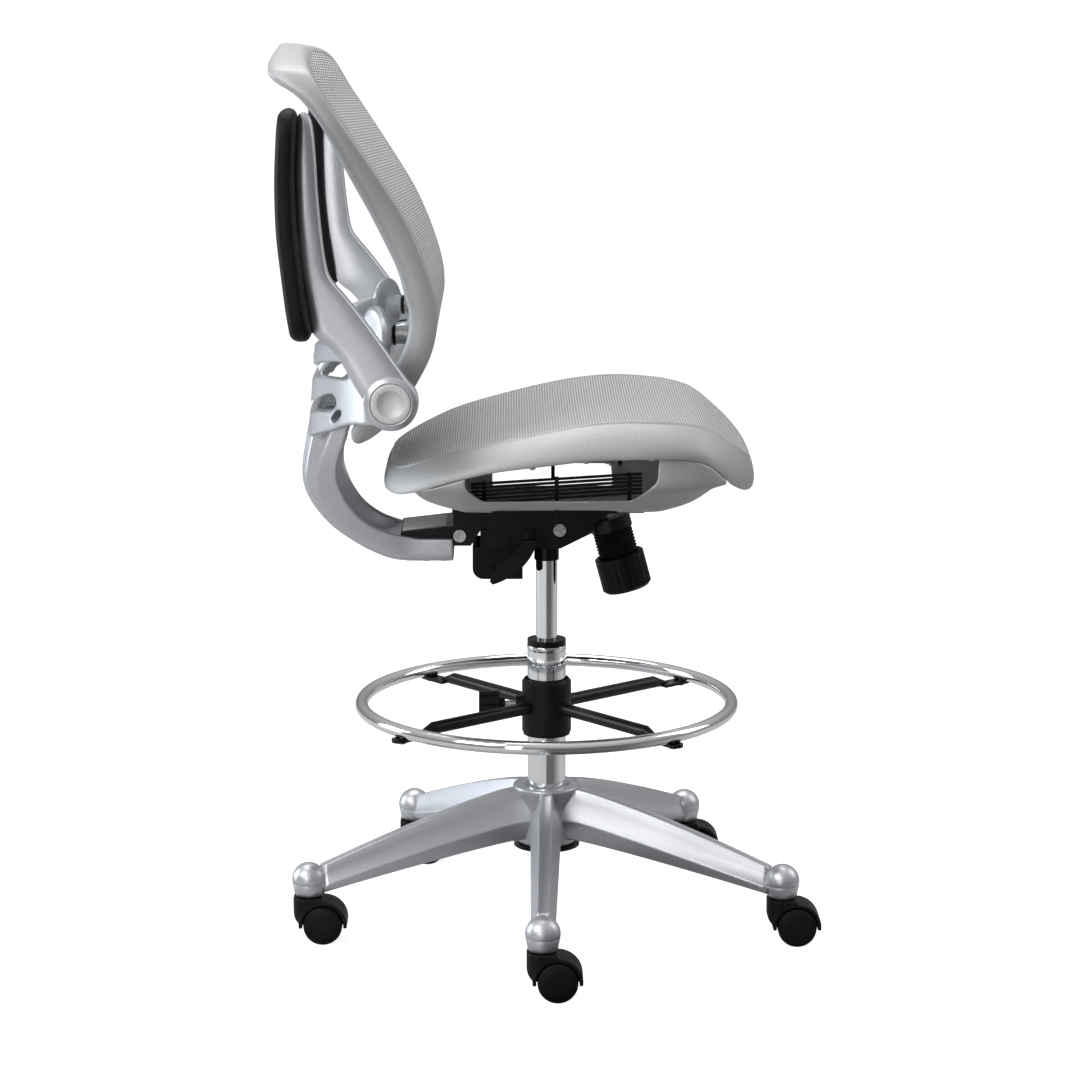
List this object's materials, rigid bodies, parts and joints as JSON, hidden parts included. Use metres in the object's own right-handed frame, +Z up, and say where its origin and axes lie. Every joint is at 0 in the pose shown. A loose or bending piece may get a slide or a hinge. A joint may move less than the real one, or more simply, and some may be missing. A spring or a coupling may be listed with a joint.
{
  "type": "drafting chair",
  "caption": "High mesh task chair with foot ring, gas height column, tilting seat, reclining back, flip-up arms and a star base on twin-wheel casters.",
  "frame": {"origin": "on the floor, under the centre of the column", "axes": "+Z up, +X to the front of the chair, +Y to the left of a sitter"},
  "size_m": [0.7032, 0.6864, 1.14],
  "materials": {
    "silver_paint": "fine metallic silver paint",
    "silver_plastic": "silver painted nylon with a fine metallic grain",
    "arm_cap": "light silver, finely grained",
    "chrome": "polished chrome",
    "black_steel": "gloss black enamel",
    "black_plastic": "fine-textured black plastic",
    "black_rubber": "satin black rubber",
    "wheel_black": "satin black nylon",
    "pad_black": "soft black polyurethane skin",
    "steel": "zinc-plated steel",
    "grey_strip": "light grey plastic",
    "seat_mesh": "light grey ribbed woven mesh",
    "back_mesh": "light grey woven mesh"
  },
  "bodies": {
    "base": {"star_base": "silver_paint", "base_plate": "black_steel", "caster_stems": "steel", "column_tube": "chrome", "column_guide_bush": "black_plastic", "thrust_bearing": "steel"},
    "rod": {"piston_rod": "steel", "retaining_clip": "steel"},
    "post": {"gas_cylinder": "chrome", "mechanism_housing": "black_steel", "tilt_pin": "steel", "lock_box": "black_plastic", "tension_sleeve": "black_rubber", "tension_spring": "steel"},
    "release_pin": {"release_pin": "steel"},
    "tilt_lock": {"tilt_lock_bar": "black_steel"},
    "lever": {"lever_rod": "steel", "lever_paddle": "black_plastic"},
    "tension_screw": {"tension_bolt": "steel", "tension_knob": "black_plastic"},
    "seat": {"seat_plate": "black_steel", "recline_pin": "steel", "seat_frame": "silver_plastic", "seat_mesh": "seat_mesh", "seat_screws": "steel", "seat_cradle": "silver_plastic", "seat_louvres": "black_plastic"},
    "back": {"back_bracket": "black_steel", "bracket_strip": "grey_strip", "yoke": "silver_paint", "yoke_screws": "steel", "back_frame": "silver_plastic", "back_mesh": "back_mesh", "back_washers": "black_rubber", "back_spacers": "steel", "back_bolts": "steel", "arm_pins": "steel"},
    "arm_left": {"arm_left_beam": "silver_paint", "arm_left_pad": "pad_black", "arm_left_cap": "arm_cap"},
    "arm_right": {"arm_right_beam": "silver_paint", "arm_right_pad": "pad_black", "arm_right_cap": "arm_cap"},
    "ring_collar": {"footring_collet": "black_plastic"},
    "foot_ring": {"footring_hub": "black_plastic", "footring_spokes": "black_steel", "footring_ring": "chrome", "footring_screws": "steel"},
    "ring_clamp": {"clamp_knob": "black_plastic", "clamp_stud": "steel"},
    "caster_1": {"caster_hood_1": "black_plastic"},
    "wheels_1": {"caster_wheels_1": "wheel_black"},
    "caster_2": {"caster_hood_2": "black_plastic"},
    "wheels_2": {"caster_wheels_2": "wheel_black"},
    "caster_3": {"caster_hood_3": "black_plastic"},
    "wheels_3": {"caster_wheels_3": "wheel_black"},
    "caster_4": {"caster_hood_4": "black_plastic"},
    "wheels_4": {"caster_wheels_4": "wheel_black"},
    "caster_5": {"caster_hood_5": "black_plastic"},
    "wheels_5": {"caster_wheels_5": "wheel_black"}
  },
  "joints": [
    {"name": "caster_swivel_1", "type": "hinge", "parent": "base", "child": "caster_1", "pos_m": [-0.00836, -0.31939, 0.05], "axis": [0, 0, 1], "continuous": true},
    {"name": "wheel_roll_1", "type": "hinge", "parent": "caster_1", "child": "wheels_1", "pos_m": [0.00964, -0.31939, 0.025], "axis": [0, 1, 0], "continuous": true},
    {"name": "caster_swivel_2", "type": "hinge", "parent": "base", "child": "caster_2", "pos_m": [0.30117, -0.10665, 0.05], "axis": [0, 0, 1], "continuous": true},
    {"name": "wheel_roll_2", "type": "hinge", "parent": "caster_2", "child": "wheels_2", "pos_m": [0.31917, -0.10665, 0.025], "axis": [0, 1, 0], "continuous": true},
    {"name": "caster_swivel_3", "type": "hinge", "parent": "base", "child": "caster_3", "pos_m": [0.1945, 0.25348, 0.05], "axis": [0, 0, 1], "continuous": true},
    {"name": "wheel_roll_3", "type": "hinge", "parent": "caster_3", "child": "wheels_3", "pos_m": [0.2125, 0.25348, 0.025], "axis": [0, 1, 0], "continuous": true},
    {"name": "caster_swivel_4", "type": "hinge", "parent": "base", "child": "caster_4", "pos_m": [-0.18097, 0.26331, 0.05], "axis": [0, 0, 1], "continuous": true},
    {"name": "wheel_roll_4", "type": "hinge", "parent": "caster_4", "child": "wheels_4", "pos_m": [-0.16297, 0.26331, 0.025], "axis": [0, 1, 0], "continuous": true},
    {"name": "caster_swivel_5", "type": "hinge", "parent": "base", "child": "caster_5", "pos_m": [-0.30634, -0.09074, 0.05], "axis": [0, 0, 1], "continuous": true},
    {"name": "wheel_roll_5", "type": "hinge", "parent": "caster_5", "child": "wheels_5", "pos_m": [-0.28834, -0.09074, 0.025], "axis": [0, 1, 0], "continuous": true},
    {"name": "seat_swivel", "type": "hinge", "parent": "base", "child": "rod", "pos_m": [0, 0, 0.11], "axis": [0, 0, 1], "continuous": true},
    {"name": "seat_height", "type": "slide", "parent": "rod", "child": "post", "axis": [0, 0, 1], "range_m": [-0.085, 0.095]},
    {"name": "seat_tilt", "type": "hinge", "parent": "post", "child": "seat", "pos_m": [0.016, 0, 0.531], "axis": [0, -1, 0], "range_deg": [0, 12], "stiffness_Nm_per_rad": 180, "springref_deg": -11.46},
    {"name": "back_recline", "type": "hinge", "parent": "seat", "child": "back", "pos_m": [-0.111, 0, 0.524], "axis": [0, -1, 0], "range_deg": [0, 14], "stiffness_Nm_per_rad": 120, "springref_deg": -14.32},
    {"name": "arm_left_flip", "type": "hinge", "parent": "back", "child": "arm_left", "pos_m": [-0.188, 0.28, 0.728], "axis": [0, 1, 0], "range_deg": [0, 93]},
    {"name": "arm_right_flip", "type": "hinge", "parent": "back", "child": "arm_right", "pos_m": [-0.188, -0.28, 0.728], "axis": [0, 1, 0], "range_deg": [0, 93]},
    {"name": "tilt_lock_pull", "type": "slide", "parent": "post", "child": "tilt_lock", "axis": [0, -1, 0], "range_m": [0, 0.012]},
    {"name": "height_lever_lift", "type": "hinge", "parent": "tilt_lock", "child": "lever", "pos_m": [-0.024, -0.05, 0.517], "axis": [0, 1, 0], "range_deg": [0, 8], "stiffness_Nm_per_rad": 2, "springref_deg": -6.88},
    {"name": "release_pin_press", "type": "slide", "parent": "post", "child": "release_pin", "axis": [0, 0, -1], "range_m": [0, 0.0035]},
    {"name": "tension_knob_turn", "type": "hinge", "parent": "post", "child": "tension_screw", "pos_m": [0.084, 0, 0.522], "axis": [0.2588, 0, -0.9659], "range_deg": [-1080, 1080]},
    {"name": "ring_height", "type": "slide", "parent": "base", "child": "ring_collar", "axis": [0, 0, 1], "range_m": [-0.06, 0.03]},
    {"name": "ring_turn", "type": "hinge", "parent": "ring_collar", "child": "foot_ring", "pos_m": [0, 0, 0.29], "axis": [0, 0, 1], "continuous": true},
    {"name": "ring_clamp_turn", "type": "hinge", "parent": "foot_ring", "child": "ring_clamp", "pos_m": [-0.06, 0, 0.29], "axis": [-1, 0, 0], "range_deg": [-720, 0]}
  ],
  "couplings": [
    {"joint": "release_pin_press", "follows": "height_lever_lift", "m_per_rad": 0.024}
  ]
}
